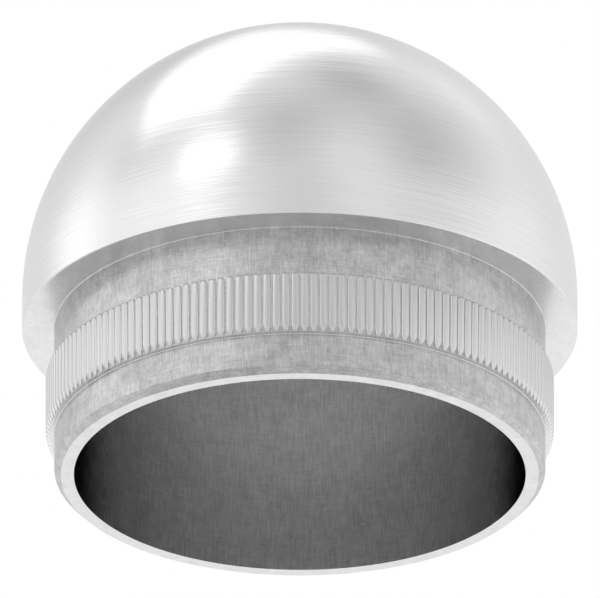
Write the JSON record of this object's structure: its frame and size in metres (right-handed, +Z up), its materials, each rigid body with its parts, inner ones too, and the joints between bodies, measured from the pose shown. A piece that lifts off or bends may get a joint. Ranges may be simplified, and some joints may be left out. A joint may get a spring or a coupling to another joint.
{
  "type": "domed tube insert cap",
  "caption": "Domed metal end cap for round tube: hollow dome on a stepped insert with a straight-ribbed knurl band that is pressed into the bore.",
  "frame": {"origin": "centre of the insert's rim, on the plane that the rim stands on", "axes": "+Z up the cap's axis from the rim to the top of the dome; X and Y across it, alike all round"},
  "size_m": [0.0424, 0.0424, 0.0359],
  "materials": {
    "steel": "fine circumferential brushing on the dome, plainer machined satin on the insert"
  },
  "bodies": {
    "root": {"insert_cap": "steel"}
  },
  "joints": []
}
